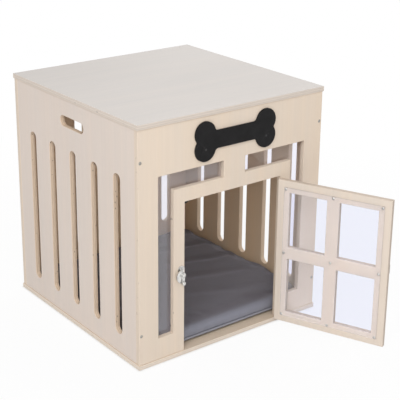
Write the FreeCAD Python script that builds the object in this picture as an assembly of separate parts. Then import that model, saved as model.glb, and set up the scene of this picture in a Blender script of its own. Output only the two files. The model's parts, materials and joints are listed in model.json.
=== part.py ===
import FreeCAD, Part
import math
import os

from FreeCAD import Vector

# Pet crate of plywood boards with a glazed door that opens outwards. Lengths are in millimetres.
# The origin is the middle of the base's underside, the front faces -Y and +Z is up.

# The whole crate and its boards
crate_width = 520.0
crate_depth = 520.0
crate_height = 560.0
board = 12.0
base_board = 10.0
lid_overhang = 2.0

# Cutters run past the faces that they cut, and a hole is this much wider than what it holds
overrun = 1.0
seat_clearance = 0.05

# Round-ended slots of the side and back panels: the wall left above and below them
slot_width = 27.0
slot_pitch = 89.0
slot_count = 5
slot_head = 114.0
side_slot_sill = 45.5
back_slot_sill = 68.0

# Hand-holes of the side panels, with their middle below the wall's top edge
hand_hole_length = 98.0
hand_hole_height = 25.0
hand_hole_drop = 51.0

# Front panel: outer stiles, header, the L-shaped windows and the surround of the doorway
outer_stile = 51.0
header = 109.9
window_width = 41.0
window_leg = 38.7
window_sill = 51.0
stem_width = 60.0
surround_stile = 29.0
surround_rail = 32.4

# Door and the gaps round it
door_gap = 1.5
door_sill_gap = 1.5
door_head_gap = 2.0
door_stile = 29.0
door_rail = 28.0
door_muntin = 30.0
door_rest_angle = 113.0

# Clear sheets behind the windows and on the door's inner face
clear_sheet = 2.0
window_sheet_margin = 9.0
door_sheet_margin = 16.0
door_screw_inset = 20.0

# Pan-head screws of the clear sheets
sheet_screw_head = 6.0
sheet_screw_head_height = 1.8
sheet_screw_shank = 2.6
sheet_screw_length = 8.0
pan_crown_share = 0.6

# Countersunk screws of the boards: places from the walls' lower and upper edges
panel_screw_head = 7.5
panel_screw_shank = 3.6
panel_screw_length = 30.0
panel_screw_low = 70.0
panel_screw_high = 71.0
edge_fastener_share = 0.77

# Dowels between the walls and the lid
dowel_diameter = 5.0
dowel_length = 18.0
dowel_in_lid = 6.0

# Bone-shaped plaque on the header: lobes, neck and the drop of its middle below the wall's top edge
plaque_lobe = 27.5
plaque_reach = 85.0
plaque_lobe_rise = 17.5
plaque_neck = 40.5
plaque_neck_fillet = 9.0
plaque_end_fillet = 4.0
plaque_thickness = 5.0
plaque_edge = 1.2
plaque_drop = 55.5
plaque_screw_length = 11.0

# Door stop behind the doorway's top left corner
stop_length = 30.0
stop_height = 26.0
stop_thickness = 8.0
stop_reach = 18.0
stop_lap = 10.0
stop_corner = 5.0
stop_screw_length = 13.0

# Small countersunk screws of the hinges, the lock and the stop
small_screw_head = 5.2
small_screw_shank = 2.6
small_screw_length = 7.0

# Butt hinges on the outer faces: pin axis in front of the face, leaves and knuckles
hinge_height = 50.0
hinge_reach = 19.0
hinge_leaf = 1.2
hinge_stand = 3.0
hinge_knuckle = 5.5
hinge_pin = 3.0
hinge_pin_head = 4.6
hinge_pin_head_height = 1.2
hinge_knuckle_count = 5
hinge_gap = 0.3
hinge_lap = 1.2
hinge_inset = 60.0
hinge_screw_pitch = 17.0
hinge_corner = 3.0

# Crescent lock on the doorway's left stile
latch_from_edge = 9.5
latch_up = 187.5
latch_plate_width = 18.0
latch_plate_length = 42.0
latch_plate = 1.8
latch_boss = 13.0
latch_boss_height = 5.0
latch_screw_spread = 30.0
latch_rivet_shank = 5.0
latch_rivet_head = 8.0
latch_rivet_head_height = 1.5
crescent_gap = 0.3
crescent_near_reach = 14.0
crescent_far_reach = 18.0
crescent_thickness = 2.5
crescent_hub = 13.0
crescent_hub_height = 4.8
lever_length = 18.0
lever_root = 8.0
lever_tip = 6.0
lever_thickness = 2.2
lever_knob = 9.0
lever_knob_height = 5.5
lever_knob_edge = 1.2

# Keeper of the lock on the door: a strip bent up into a tongue
keeper_height = 22.0
keeper_foot = 16.0
keeper_strip = 1.5
keeper_rise = 3.0
keeper_tongue = 7.0
keeper_edge = 0.7
keeper_screw_spread = 12.0
keeper_screw_share = 0.6

# Loose floor cushion: gaps to the walls, crown and how far its sides pull in between the corners
cushion_side_gap = 5.0
cushion_front_gap = 10.0
cushion_lift = 0.3
cushion_height = 50.0
cushion_draw = 3.0
cushion_corner = 30.0
cushion_height_shares = (0.0, 0.12, 0.30, 0.50, 0.67, 0.80, 0.90, 0.96, 1.0)
cushion_inset_shares = (0.034, 0.012, 0.0, 0.002, 0.011, 0.029, 0.068, 0.16, 0.44)

# Planes that the pieces share
wall_x = crate_width / 2 - lid_overhang
wall_y = crate_depth / 2 - lid_overhang
inner_x = wall_x - board
inner_y = wall_y - board
wall_bottom = base_board
wall_top = crate_height - board
front_face = -wall_y
front_inner = -inner_y

# Windows, doorway and door, seen from the front: what the stiles, header and rails leave between them
window_x = wall_x - outer_stile
window_top = wall_top - header
window_bottom = wall_bottom + window_sill
surround_x = window_x - window_width
surround_top = window_top - window_leg
doorway_x = surround_x - surround_stile
doorway_top = surround_top - surround_rail
door_width = 2 * (doorway_x - door_gap)
door_bottom = wall_bottom + door_sill_gap
door_top = doorway_top - door_head_gap
door_height = door_top - door_bottom

# Axes of the two moving pieces
hinge_x = doorway_x - door_gap / 2
hinge_y = front_face - hinge_stand
latch_x = -doorway_x - latch_from_edge
latch_z = door_bottom + latch_up
keeper_riser = -door_width / 2 + keeper_edge + keeper_tongue

UP = Vector(0, 0, 1)
INWARD = Vector(0, 1, 0)
OUTWARD = Vector(0, -1, 0)


def block(low, high):
    """A square-edged board between two corners."""
    size = high - low
    return Part.makeBox(size.x, size.y, size.z, low)


def prism(corners, depth):
    """A straight-sided outline, pushed along a vector."""
    face = Part.Face(Part.makePolygon(corners + corners[:1]))
    return face.extrude(depth)


def round_slot(middle, along, across, length, width, depth):
    """A slot with half-round ends, pushed along a vector."""
    radius = width / 2
    run = along * (length / 2 - radius)
    side = across * radius
    tip = along * (length / 2)
    edges = [
        Part.LineSegment(middle - run + side, middle + run + side),
        Part.Arc(middle + run + side, middle + tip, middle + run - side),
        Part.LineSegment(middle + run - side, middle - run - side),
        Part.Arc(middle - run - side, middle - tip, middle - run + side),
    ]
    wire = Part.Wire([edge.toShape() for edge in edges])
    return Part.Face(wire).extrude(depth)


def turned(profile, at, direction):
    """A profile of radius and depth pairs, turned about its axis and set on a point, facing a way."""
    points = [Vector(radius, 0, depth) for radius, depth in profile]
    face = Part.Face(Part.makePolygon(points + points[:1]))
    solid = face.revolve(Vector(), UP, 360)
    solid.Placement = FreeCAD.Placement(at, FreeCAD.Rotation(UP, direction))
    return solid


def countersunk(head, shank, length, at, direction, spare=0):
    """A countersunk screw, or with some spare all round, the hole that takes it."""
    head_radius = head / 2 + spare
    shank_radius = shank / 2 + spare
    sink = (head - shank) / 2
    mouth = -overrun if spare else 0
    profile = [
        (0, mouth),
        (head_radius, mouth),
        (head_radius, 0),
        (shank_radius, sink),
        (shank_radius, length + spare),
        (0, length + spare),
    ]
    if not spare:
        profile = profile[1:2] + profile[3:] + profile[:1]
    return turned(profile, at, direction)


def pan_head(at, direction, spare=0):
    """A pan-head screw of the clear sheets, or with some spare, the hole for its shank."""
    head_radius = sheet_screw_head / 2
    shank_radius = sheet_screw_shank / 2 + spare
    tip = [(shank_radius, sheet_screw_length + spare), (0, sheet_screw_length + spare)]
    if spare:
        return turned([(0, -overrun), (shank_radius, -overrun)] + tip, at, direction)
    head = [
        (0, -sheet_screw_head_height),
        (head_radius * pan_crown_share, -sheet_screw_head_height),
        (head_radius, -sheet_screw_head_height * pan_crown_share),
        (head_radius, 0),
        (shank_radius, 0),
    ]
    return turned(head + tip, at, direction)


def panel_screw(at, direction, spare=0):
    return countersunk(panel_screw_head, panel_screw_shank, panel_screw_length, at, direction, spare)


def small_screw(at, direction, spare=0):
    return countersunk(small_screw_head, small_screw_shank, small_screw_length, at, direction, spare)


def stop_screw(at, direction, spare=0):
    return countersunk(small_screw_head, small_screw_shank, stop_screw_length, at, direction, spare)


def plaque_screw(at, direction, spare=0):
    return countersunk(small_screw_head, small_screw_shank, plaque_screw_length, at, direction, spare)


def drilled(solid, make, places):
    """A solid with the holes of one kind of fastener."""
    for at, direction in places:
        solid = solid.cut(make(at, direction, seat_clearance))
    return solid


def group(make, places):
    """The fasteners themselves, as separate solids."""
    return Part.makeCompound([make(at, direction) for at, direction in places])


def edge_places(height):
    """Two points over the middle of each wall's edge, at one height."""
    run_x = inner_x * edge_fastener_share
    run_y = inner_y * edge_fastener_share
    line_x = wall_x - board / 2
    line_y = wall_y - board / 2
    places = []
    for side in (-1, 1):
        for end in (-1, 1):
            places.append(Vector(end * run_x, side * line_y, height))
            places.append(Vector(side * line_x, end * run_y, height))
    return places


def dowel(at, direction, spare=0):
    radius = dowel_diameter / 2 + spare
    start = at - direction * (dowel_length - dowel_in_lid + spare)
    return Part.makeCylinder(radius, dowel_length + 2 * spare, start, direction)


base_screw_places = [(at, UP) for at in edge_places(0)]
dowel_places = [(at, UP) for at in edge_places(wall_top)]


def corner_places(face, direction):
    """Two screws down each side of the front or back panel, in line with the side panels' edges."""
    line_x = wall_x - board / 2
    heights = (wall_bottom + panel_screw_low, wall_top - panel_screw_high)
    return [(Vector(side * line_x, face, z), direction) for side in (-1, 1) for z in heights]


front_screw_places = corner_places(front_face, INWARD)
back_screw_places = corner_places(wall_y, OUTWARD)


def window_outline(side, margin, y):
    """The L of one window, or with a margin, of the sheet behind it."""
    outer = window_x + margin
    inner = surround_x - margin
    stem = stem_width / 2 - margin
    top = window_top + margin
    step = surround_top - margin
    bottom = window_bottom - margin
    corners = [(outer, bottom), (outer, top), (stem, top), (stem, step), (inner, step), (inner, bottom)]
    return [Vector(side * x, y, z) for x, z in corners]


def window_screw_places(side):
    """A screw at each corner of the sheet and at the middle of its longest edge."""
    corners = window_outline(side, window_sheet_margin / 2, front_inner + clear_sheet)
    middle = (corners[0] + corners[1]) / 2
    return [(at, OUTWARD) for at in corners + [middle]]


def stop_places():
    """Two screws along the stop, above the doorway."""
    left = -doorway_x + stop_reach - stop_length
    z = doorway_top + (stop_height - stop_lap) / 2
    y = front_inner + stop_thickness
    return [(Vector(left + stop_length * share, y, z), OUTWARD) for share in (1 / 4, 3 / 4)]


def plaque_places():
    """A screw in the middle of each lower lobe."""
    z = wall_top - plaque_drop - plaque_lobe_rise
    return [(Vector(end * plaque_reach, front_face - plaque_thickness, z), INWARD) for end in (-1, 1)]


def hinge_middles():
    """Heights of the upper and lower hinge."""
    return {"upper": door_top - hinge_inset, "lower": door_bottom + hinge_inset}


def hinge_screw_places(side):
    """Three screws through each leaf: side 1 is the doorway's stile, side -1 the door."""
    x = hinge_x + side * (hinge_knuckle / 2 + hinge_reach) / 2
    y = front_face - hinge_leaf
    rows = (-1, 0, 1)
    return [(Vector(x, y, z + row * hinge_screw_pitch), INWARD) for z in hinge_middles().values() for row in rows]


def latch_screw_places():
    y = front_face - latch_plate
    return [(Vector(latch_x, y, latch_z + end * latch_screw_spread / 2), INWARD) for end in (-1, 1)]


def keeper_screw_places():
    x = keeper_riser + keeper_foot * keeper_screw_share
    y = front_face - keeper_strip
    return [(Vector(x, y, latch_z + end * keeper_screw_spread / 2), INWARD) for end in (-1, 1)]


def door_screw_places():
    """A three by three grid over the door's stiles, rails and muntins."""
    across = door_width / 2 - door_screw_inset
    up = door_height / 2 - door_screw_inset
    middle = (door_bottom + door_top) / 2
    y = front_inner + clear_sheet
    steps = (-1, 0, 1)
    return [(Vector(i * across, y, middle + j * up), OUTWARD) for i in steps for j in steps]


def base_panel():
    half = Vector(crate_width / 2, crate_depth / 2, 0)
    panel = block(-half, half + UP * base_board)
    return drilled(panel, panel_screw, base_screw_places)


def top_panel():
    half = Vector(crate_width / 2, crate_depth / 2, 0)
    panel = block(UP * wall_top - half, half + UP * crate_height)
    return drilled(panel, dowel, dowel_places)


def walled(panel):
    """A wall board with the holes of the base screws and dowels."""
    return drilled(drilled(panel, panel_screw, base_screw_places), dowel, dowel_places)


def slot_row(middle, across, sill, depth):
    """The row of slots of one wall, as cutters."""
    bottom = wall_bottom + sill
    top = wall_top - slot_head
    first = -(slot_count - 1) / 2
    for index in range(slot_count):
        at = middle + across * ((first + index) * slot_pitch) + UP * ((bottom + top) / 2)
        yield round_slot(at, UP, across, top - bottom, slot_width, depth)


def side_panel(side):
    """A side wall between the front and back panels, with its slots and hand-hole."""
    faces = sorted((side * inner_x, side * wall_x))
    panel = block(Vector(faces[0], -inner_y, wall_bottom), Vector(faces[1], inner_y, wall_top))
    start = Vector(faces[0] - overrun, 0, 0)
    depth = Vector(board + 2 * overrun, 0, 0)
    for cutter in slot_row(start, INWARD, side_slot_sill, depth):
        panel = panel.cut(cutter)
    hole_at = start + UP * (wall_top - hand_hole_drop)
    panel = panel.cut(round_slot(hole_at, INWARD, UP, hand_hole_length, hand_hole_height, depth))
    panel = drilled(panel, panel_screw, front_screw_places + back_screw_places)
    return walled(panel)


def back_panel():
    panel = block(Vector(-wall_x, inner_y, wall_bottom), Vector(wall_x, wall_y, wall_top))
    start = Vector(0, inner_y - overrun, 0)
    depth = Vector(0, board + 2 * overrun, 0)
    for cutter in slot_row(start, Vector(1, 0, 0), back_slot_sill, depth):
        panel = panel.cut(cutter)
    return walled(drilled(panel, panel_screw, back_screw_places))


def front_panel():
    """One board: outer stiles, header with its stem, and the surround of the doorway."""
    outline = [
        Vector(-wall_x, front_face, wall_bottom),
        Vector(-doorway_x, front_face, wall_bottom),
        Vector(-doorway_x, front_face, doorway_top),
        Vector(doorway_x, front_face, doorway_top),
        Vector(doorway_x, front_face, wall_bottom),
        Vector(wall_x, front_face, wall_bottom),
        Vector(wall_x, front_face, wall_top),
        Vector(-wall_x, front_face, wall_top),
    ]
    panel = prism(outline, INWARD * board)
    for side in (-1, 1):
        window = window_outline(side, 0, front_face - overrun)
        panel = panel.cut(prism(window, INWARD * (board + 2 * overrun)))
        panel = drilled(panel, pan_head, window_screw_places(side))
    panel = drilled(panel, panel_screw, front_screw_places)
    panel = drilled(panel, small_screw, hinge_screw_places(1) + latch_screw_places())
    panel = drilled(panel, stop_screw, stop_places())
    panel = drilled(panel, plaque_screw, plaque_places())
    return walled(panel)


def window_sheet(side):
    sheet = prism(window_outline(side, window_sheet_margin, front_inner), INWARD * clear_sheet)
    return drilled(sheet, pan_head, window_screw_places(side))


def bone_plaque():
    """Four round lobes on a straight neck, with every inner corner rounded."""
    neck = plaque_neck / 2
    reach = plaque_lobe + plaque_neck_fillet
    side_run = math.sqrt(reach ** 2 - (neck + plaque_neck_fillet - plaque_lobe_rise) ** 2)
    fillet_x = plaque_reach - side_run
    fillet_z = neck + plaque_neck_fillet
    end_reach = plaque_lobe + plaque_end_fillet
    end_x = plaque_reach + math.sqrt(end_reach ** 2 - plaque_lobe_rise ** 2)
    lobe_share = plaque_lobe / reach
    end_share = plaque_lobe / end_reach
    leave = (plaque_reach + (fillet_x - plaque_reach) * lobe_share,
             plaque_lobe_rise + (fillet_z - plaque_lobe_rise) * lobe_share)
    meet = (plaque_reach + (end_x - plaque_reach) * end_share, plaque_lobe_rise * (1 - end_share))
    middle_z = wall_top - plaque_drop

    def at(x, z):
        return Vector(x, front_face - plaque_thickness, middle_z + z)

    def rounded(start, centre, radius, end):
        """The arc between two points that turns the way from the first to the second by its centre."""
        halfway = Vector((start[0] + end[0]) / 2 - centre[0], 0, (start[1] + end[1]) / 2 - centre[1])
        halfway.normalize()
        return halfway * radius

    bend = rounded((fillet_x, neck), (fillet_x, fillet_z), plaque_neck_fillet, leave)
    notch = plaque_end_fillet
    edges = []
    for side in (-1, 1):
        edges.append(Part.LineSegment(at(-fillet_x, side * neck), at(fillet_x, side * neck)))
        for end in (-1, 1):
            bend_at = at(end * (fillet_x + bend.x), side * (fillet_z + bend.z))
            crown_at = at(end * plaque_reach, side * (plaque_lobe_rise + plaque_lobe))
            leave_at = at(end * leave[0], side * leave[1])
            meet_at = at(end * meet[0], side * meet[1])
            edges.append(Part.Arc(at(end * fillet_x, side * neck), bend_at, leave_at))
            edges.append(Part.Arc(leave_at, crown_at, meet_at))
    for end in (-1, 1):
        upper = at(end * meet[0], meet[1])
        lower = at(end * meet[0], -meet[1])
        edges.append(Part.Arc(upper, at(end * (end_x - notch), 0), lower))
    wire = Part.Wire(Part.__sortEdges__([edge.toShape() for edge in edges]))
    plaque = Part.Face(wire).extrude(INWARD * plaque_thickness)
    shown = [edge for edge in plaque.Edges if edge.BoundBox.YMax < front_face - plaque_thickness / 2]
    return drilled(plaque.makeFillet(plaque_edge, shown), plaque_screw, plaque_places())


def door_stop():
    """A block on the inner face, with its free corner in the doorway rounded off."""
    left = -doorway_x + stop_reach - stop_length
    low = Vector(left, front_inner, doorway_top - stop_lap)
    high = low + Vector(stop_length, stop_thickness, stop_height)
    stop = block(low, high)
    free = [
        edge for edge in stop.Edges
        if edge.BoundBox.XMin > high.x - stop_corner and edge.BoundBox.ZMax < low.z + stop_corner
    ]
    return drilled(stop.makeFillet(stop_corner, free), stop_screw, stop_places())


def cushion():
    """A stuffed pad: crowned on top, tucked under at its foot, its sides drawn in between the corners."""
    low_y = front_inner + cushion_front_gap
    high_y = inner_y - cushion_side_gap
    half_x = inner_x - cushion_side_gap
    half_y = (high_y - low_y) / 2
    middle_y = (high_y + low_y) / 2
    bottom = wall_bottom + cushion_lift
    ease_share = 1 - math.sqrt(1 / 2)
    sections = []
    for height_share, inset_share in zip(cushion_height_shares, cushion_inset_shares):
        size_share = 1 - inset_share
        inset = half_x * inset_share
        x = half_x - inset
        y = half_y - inset
        corner = cushion_corner * size_share
        draw = cushion_draw * size_share
        z = bottom + cushion_height * height_share
        edges = []
        for along, across, long, short in ((1, 0, x, y), (0, 1, y, x), (-1, 0, x, y), (0, -1, y, x)):
            ahead = Vector(along, across, 0)
            right = Vector(across, -along, 0)
            centre = Vector(0, middle_y, z)
            start = centre - ahead * (long - corner) + right * short
            end = centre + ahead * (long - corner) + right * short
            edges.append(Part.Arc(start, centre + right * (short - draw), end))
            turn = centre + ahead * (long - corner * ease_share) + right * (short - corner * ease_share)
            edges.append(Part.Arc(end, turn, centre + ahead * long + right * (short - corner)))
        sections.append(Part.Wire([edge.toShape() for edge in edges]))
    return Part.makeLoft(sections, True, True)


def hinge_leaf_solid(middle, side):
    """One leaf with its knuckles: side 1 lies on the doorway's stile, side -1 on the door."""
    radius = hinge_knuckle / 2
    bottom = middle - hinge_height / 2
    pitch = hinge_height / hinge_knuckle_count
    near = radius + hinge_gap
    first = 0 if side > 0 else 1
    back = front_face

    def flat(start, end, low, high):
        x_low, x_high = sorted((hinge_x + side * start, hinge_x + side * end))
        return block(Vector(x_low, back - hinge_leaf, low), Vector(x_high, back, high))

    leaf = flat(near, hinge_reach, bottom, bottom + hinge_height)
    far_x = hinge_x + side * hinge_reach
    corners = [
        edge for edge in leaf.Edges
        if abs(edge.BoundBox.XMin - far_x) < hinge_gap and edge.BoundBox.YLength > hinge_leaf / 2
        and edge.BoundBox.XLength < hinge_gap and edge.BoundBox.ZLength < hinge_gap
    ]
    leaf = leaf.makeFillet(hinge_corner, corners)
    for index in range(first, hinge_knuckle_count, 2):
        low = bottom + index * pitch + hinge_gap / 2
        height = pitch - hinge_gap
        tab = flat(hinge_lap, near, low, low + height)
        knuckle = Part.makeCylinder(radius, height, Vector(hinge_x, hinge_y, low), UP)
        leaf = leaf.fuse(tab).fuse(knuckle)
    bore = hinge_pin / 2 + seat_clearance
    start = Vector(hinge_x, hinge_y, bottom - overrun)
    leaf = leaf.cut(Part.makeCylinder(bore, hinge_height + 2 * overrun, start, UP))
    return drilled(leaf.removeSplitter(), small_screw, hinge_screw_places(side))


def hinge_pin_solid(middle):
    """A pin with a flat head that rests on the top knuckle."""
    top = middle + hinge_height / 2
    profile = [
        (0, -hinge_height),
        (hinge_pin / 2, -hinge_height),
        (hinge_pin / 2, 0),
        (hinge_pin_head / 2, 0),
        (hinge_pin_head / 2, hinge_pin_head_height),
        (0, hinge_pin_head_height),
    ]
    return turned(profile, Vector(hinge_x, hinge_y, top), UP)


def latch_base():
    """The lock's round-ended plate with the boss that lifts the crescent clear of the keeper."""
    middle = Vector(latch_x, front_face, latch_z)
    across = Vector(1, 0, 0)
    plate = round_slot(middle, UP, across, latch_plate_length, latch_plate_width, OUTWARD * latch_plate)
    boss = Part.makeCylinder(latch_boss / 2, latch_boss_height, middle, OUTWARD)
    bore_radius = latch_rivet_shank / 2 + seat_clearance
    bore = Part.makeCylinder(bore_radius, latch_boss_height + 2 * overrun, middle + INWARD * overrun, OUTWARD)
    base = plate.fuse(boss).removeSplitter().cut(bore)
    return drilled(base, small_screw, latch_screw_places())


def latch_rivet():
    """The pivot: a shank through plate and crescent, with a low head in front."""
    reach = latch_boss_height + crescent_gap + crescent_hub_height + crescent_gap
    profile = [
        (0, 0),
        (latch_rivet_shank / 2, 0),
        (latch_rivet_shank / 2, reach),
        (latch_rivet_head / 2, reach),
        (latch_rivet_head / 2, reach + latch_rivet_head_height / 2),
        (latch_rivet_shank / 2, reach + latch_rivet_head_height),
        (0, reach + latch_rivet_head_height),
    ]
    return turned(profile, Vector(latch_x, front_face, latch_z), OUTWARD)


def latch_crescent():
    """Half-moon cam whose rim runs further out towards one end, with its hub, lever and knob."""
    back = front_face - latch_boss_height - crescent_gap
    pivot = Vector(latch_x, back, latch_z)
    left = Vector(-1, 0, 0)
    near = pivot + UP * crescent_near_reach
    far = pivot - UP * crescent_far_reach
    waist = pivot + left * ((crescent_near_reach + crescent_far_reach) / 2)
    rim = Part.Wire([Part.Arc(near, waist, far).toShape(), Part.LineSegment(far, near).toShape()])
    moon = Part.Face(rim).extrude(OUTWARD * crescent_thickness)
    hub = Part.makeCylinder(crescent_hub / 2, crescent_hub_height, pivot, OUTWARD)
    lever_back = pivot + OUTWARD * (crescent_hub_height - lever_thickness)
    end = lever_back - UP * lever_length
    arm = prism([
        lever_back + left * (lever_root / 2),
        end + left * (lever_tip / 2),
        end - left * (lever_tip / 2),
        lever_back - left * (lever_root / 2),
    ], OUTWARD * lever_thickness)
    knob = Part.makeCylinder(lever_knob / 2, lever_knob_height, end, OUTWARD)
    rim_edges = [edge for edge in knob.Edges if edge.BoundBox.YMax < end.y - lever_knob_height / 2]
    knob = knob.makeFillet(lever_knob_edge, rim_edges)
    bore_radius = latch_rivet_shank / 2 + seat_clearance
    bore_length = crescent_hub_height + 2 * overrun
    bore = Part.makeCylinder(bore_radius, bore_length, pivot + INWARD * overrun, OUTWARD)
    return moon.fuse(hub).fuse(arm).fuse(knob).removeSplitter().cut(bore)


def latch_keeper():
    """A strip screwed to the door's outer face and bent into a tongue that reaches over the gap."""
    riser = keeper_riser
    heel = riser + keeper_foot
    tip = riser - keeper_tongue
    foot_y = front_face - keeper_strip
    under_y = front_face - keeper_rise
    top_y = under_y - keeper_strip
    section = [
        (riser, front_face),
        (heel, front_face),
        (heel, foot_y),
        (riser + keeper_strip, foot_y),
        (riser + keeper_strip, top_y),
        (tip, top_y),
        (tip, under_y),
        (riser, under_y),
    ]
    bottom = latch_z - keeper_height / 2
    keeper = prism([Vector(x, y, bottom) for x, y in section], UP * keeper_height)
    return drilled(keeper, small_screw, keeper_screw_places())


def door_frame():
    """One board with four square-cornered lights."""
    low = Vector(-door_width / 2, front_face, door_bottom)
    high = Vector(door_width / 2, front_inner, door_top)
    panel = block(low, high)
    light_x = (door_width - door_muntin) / 2 - door_stile
    light_z = (door_height - door_muntin) / 2 - door_rail
    size = Vector(light_x, board + 2 * overrun, light_z)
    middle_z = (door_bottom + door_top) / 2
    for x in (-door_muntin / 2 - light_x, door_muntin / 2):
        for z in (-door_muntin / 2 - light_z, door_muntin / 2):
            corner = Vector(x, front_face - overrun, middle_z + z)
            panel = panel.cut(block(corner, corner + size))
    panel = drilled(panel, pan_head, door_screw_places())
    return drilled(panel, small_screw, hinge_screw_places(-1) + keeper_screw_places())


def door_sheet():
    margin = door_sheet_margin
    low = Vector(-door_width / 2 + margin, front_inner, door_bottom + margin)
    high = Vector(door_width / 2 - margin, front_inner + clear_sheet, door_top - margin)
    return drilled(block(low, high), pan_head, door_screw_places())


def swung(solid):
    """A piece of the door, turned about the hinge pins from closed to where the door rests open."""
    solid = solid.copy()
    solid.rotate(Vector(hinge_x, hinge_y, 0), UP, door_rest_angle)
    return solid


nodes = {
    "base_panel": base_panel(),
    "left_side_panel": side_panel(-1),
    "right_side_panel": side_panel(1),
    "back_panel": back_panel(),
    "front_panel": front_panel(),
    "top_panel": top_panel(),
    "bone_plaque": bone_plaque(),
    "plaque_screws": group(plaque_screw, plaque_places()),
    "left_window_sheet": window_sheet(-1),
    "right_window_sheet": window_sheet(1),
    "window_sheet_screws": group(pan_head, window_screw_places(-1) + window_screw_places(1)),
    "door_stop": door_stop(),
    "door_stop_screws": group(stop_screw, stop_places()),
    "front_panel_screws": group(panel_screw, front_screw_places),
    "back_panel_screws": group(panel_screw, back_screw_places),
    "base_screws": group(panel_screw, base_screw_places),
    "top_dowels": group(dowel, dowel_places),
    "cushion": cushion(),
    "hinge_frame_screws": group(small_screw, hinge_screw_places(1)),
    "latch_base": latch_base(),
    "latch_screws": group(small_screw, latch_screw_places()),
    "latch_rivet": latch_rivet(),
    "latch_crescent": latch_crescent(),
    "door_frame": swung(door_frame()),
    "door_sheet": swung(door_sheet()),
    "door_sheet_screws": swung(group(pan_head, door_screw_places())),
    "hinge_door_screws": swung(group(small_screw, hinge_screw_places(-1))),
    "latch_keeper": swung(latch_keeper()),
    "keeper_screws": swung(group(small_screw, keeper_screw_places())),
}
for place, middle in hinge_middles().items():
    nodes[place + "_hinge_frame_leaf"] = hinge_leaf_solid(middle, 1)
    nodes[place + "_hinge_door_leaf"] = swung(hinge_leaf_solid(middle, -1))
    nodes[place + "_hinge_pin"] = hinge_pin_solid(middle)

os.makedirs("parts", exist_ok=True)
for name, shape in nodes.items():
    shape.exportStep("parts/" + name + ".step")
print("door hinge axis", hinge_x, hinge_y)
print("latch axis", latch_x, latch_z)
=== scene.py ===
import json
import math

import bmesh
import bpy
from mathutils import Euler, Matrix, Vector
from mathutils.geometry import delaunay_2d_cdt


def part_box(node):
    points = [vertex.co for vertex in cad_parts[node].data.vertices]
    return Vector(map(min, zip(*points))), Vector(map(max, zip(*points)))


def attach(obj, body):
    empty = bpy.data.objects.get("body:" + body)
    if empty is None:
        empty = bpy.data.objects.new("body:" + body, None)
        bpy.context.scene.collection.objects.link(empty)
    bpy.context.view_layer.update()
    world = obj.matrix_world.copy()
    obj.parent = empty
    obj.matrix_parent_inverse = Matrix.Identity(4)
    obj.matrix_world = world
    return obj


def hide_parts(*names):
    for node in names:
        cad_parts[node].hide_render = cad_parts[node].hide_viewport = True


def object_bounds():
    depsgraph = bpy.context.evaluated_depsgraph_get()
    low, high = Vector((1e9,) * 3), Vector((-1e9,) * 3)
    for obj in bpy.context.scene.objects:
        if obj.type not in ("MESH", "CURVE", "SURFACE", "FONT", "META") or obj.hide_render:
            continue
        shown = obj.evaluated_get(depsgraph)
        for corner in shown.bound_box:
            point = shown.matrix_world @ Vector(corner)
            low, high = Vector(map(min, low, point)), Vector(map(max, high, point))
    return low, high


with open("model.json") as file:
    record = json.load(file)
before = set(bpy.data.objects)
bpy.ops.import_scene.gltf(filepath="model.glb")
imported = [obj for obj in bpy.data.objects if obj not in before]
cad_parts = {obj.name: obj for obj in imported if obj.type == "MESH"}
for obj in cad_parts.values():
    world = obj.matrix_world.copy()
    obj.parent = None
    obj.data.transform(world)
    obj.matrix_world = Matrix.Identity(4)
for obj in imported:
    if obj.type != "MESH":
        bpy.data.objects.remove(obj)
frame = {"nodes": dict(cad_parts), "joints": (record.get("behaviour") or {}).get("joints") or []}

cad_low, cad_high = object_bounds()


# Base: a square of 10 mm poplar plywood, sawn and sanded.
# The four walls stand on it and are screwed down from below, so its screw heads are on the underside.

scene = bpy.context.scene
mm = 0.001
same_point, same_level, same_reach = 0.001 * mm, 0.01 * mm, 0.1 * mm
noise_span = (0.3, 0.7)


def welded(cad_node, within=same_point):
    """A CAD node's faces, joined at the points that they share."""
    made = bmesh.new()
    made.from_mesh(frame["nodes"][cad_node].data)
    bmesh.ops.remove_doubles(made, verts=made.verts, dist=within)
    return made


def facing_loops(mesh, outward):
    """The closed outlines round a board's face, as lists of points that keep the wood on their left."""
    same_way = 0.999
    flat = [face for face in mesh.faces if face.normal.dot(outward) > same_way]
    level = max(face.verts[0].co.dot(outward) for face in flat)
    shown = [face for face in flat if level - face.verts[0].co.dot(outward) < same_level]
    members = set(shown)
    following = {}
    for face in shown:
        for loop in face.loops:
            if not any(other in members for other in loop.edge.link_faces if other is not face):
                following[loop.vert] = loop.link_loop_next.vert
    outlines = []
    while following:
        start, vert = following.popitem()
        outline = [start.co.copy()]
        while vert is not start:
            outline.append(vert.co.copy())
            vert = following.pop(vert)
        outlines.append(straightened(outline))
    return outlines


def in_turn(ring):
    """Each item of a closed ring, between the one before it and the one after it."""
    return zip(ring[-1:] + ring[:-1], ring, ring[1:] + ring[:1])


def straightened(outline):
    """An outline without the points that lie on a straight run."""
    straight = 0.99999
    return [point for before, point, after in in_turn(outline)
            if (point - before).normalized().dot((after - point).normalized()) < straight]


def spread(outline):
    """The middle of an outline and how far it reaches from there."""
    middle = sum(outline, Vector()) / len(outline)
    return middle, max((point - middle).length for point in outline)


def drawn_in(outline, outward, amount):
    """An outline moved into the wood, with its corners mitred."""
    moved = []
    for before, point, after in in_turn(outline):
        left = outward.cross((point - before).normalized())
        right = outward.cross((after - point).normalized())
        moved.append(point + (left + right) * (amount / (1 + left.dot(right))))
    return moved


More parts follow.
